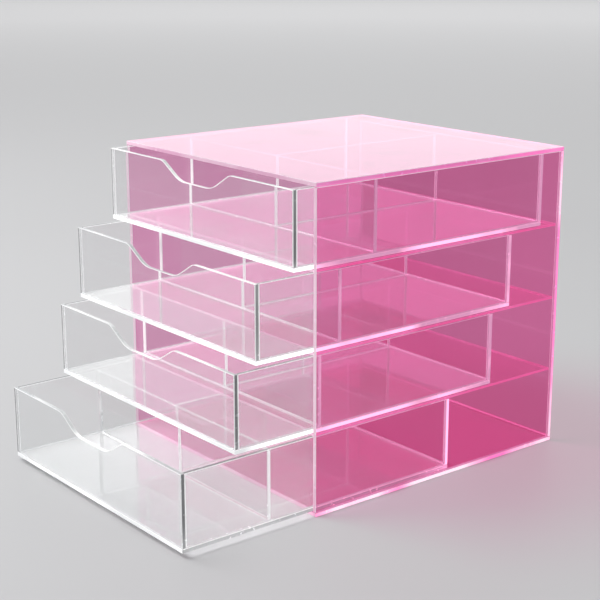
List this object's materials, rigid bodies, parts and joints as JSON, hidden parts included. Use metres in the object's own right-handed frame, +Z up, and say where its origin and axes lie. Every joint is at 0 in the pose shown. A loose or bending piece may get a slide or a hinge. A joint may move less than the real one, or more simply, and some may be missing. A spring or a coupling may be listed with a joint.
{
  "type": "acrylic drawer organizer",
  "caption": "Free-standing see-through organizer: open-fronted tinted case with stacked clear drawers, each with a finger notch and a T of dividers.",
  "frame": {"origin": "centre of the case's underside, on the surface it stands on", "axes": "+Z up, -Y towards the open front that the drawers slide out of, +X to the right seen from the front"},
  "size_m": [0.236, 0.358, 0.24],
  "materials": {
    "pink_acrylic": "polished tinted transparent cast acrylic",
    "clear_acrylic": "polished colourless transparent cast acrylic"
  },
  "bodies": {
    "case": {"case_base": "pink_acrylic", "case_top": "pink_acrylic", "case_left_side": "pink_acrylic", "case_right_side": "pink_acrylic", "case_back": "pink_acrylic", "case_shelf_1": "pink_acrylic", "case_shelf_2": "pink_acrylic", "case_shelf_3": "pink_acrylic"},
    "drawer_1": {"drawer_1_floor": "clear_acrylic", "drawer_1_front": "clear_acrylic", "drawer_1_back": "clear_acrylic", "drawer_1_left_side": "clear_acrylic", "drawer_1_right_side": "clear_acrylic", "drawer_1_cross_divider": "clear_acrylic", "drawer_1_long_divider": "clear_acrylic"},
    "drawer_2": {"drawer_2_floor": "clear_acrylic", "drawer_2_front": "clear_acrylic", "drawer_2_back": "clear_acrylic", "drawer_2_left_side": "clear_acrylic", "drawer_2_right_side": "clear_acrylic", "drawer_2_cross_divider": "clear_acrylic", "drawer_2_long_divider": "clear_acrylic"},
    "drawer_3": {"drawer_3_floor": "clear_acrylic", "drawer_3_front": "clear_acrylic", "drawer_3_back": "clear_acrylic", "drawer_3_left_side": "clear_acrylic", "drawer_3_right_side": "clear_acrylic", "drawer_3_cross_divider": "clear_acrylic", "drawer_3_long_divider": "clear_acrylic"},
    "drawer_4": {"drawer_4_floor": "clear_acrylic", "drawer_4_front": "clear_acrylic", "drawer_4_back": "clear_acrylic", "drawer_4_left_side": "clear_acrylic", "drawer_4_right_side": "clear_acrylic", "drawer_4_cross_divider": "clear_acrylic", "drawer_4_long_divider": "clear_acrylic"}
  },
  "joints": [
    {"name": "drawer_1_slide", "type": "slide", "parent": "case", "child": "drawer_1", "axis": [0, -1, 0], "range_m": [-0.017, 0.173]},
    {"name": "drawer_2_slide", "type": "slide", "parent": "case", "child": "drawer_2", "axis": [0, -1, 0], "range_m": [-0.049, 0.141]},
    {"name": "drawer_3_slide", "type": "slide", "parent": "case", "child": "drawer_3", "axis": [0, -1, 0], "range_m": [-0.067, 0.123]},
    {"name": "drawer_4_slide", "type": "slide", "parent": "case", "child": "drawer_4", "axis": [0, -1, 0], "range_m": [-0.111, 0.079]}
  ]
}
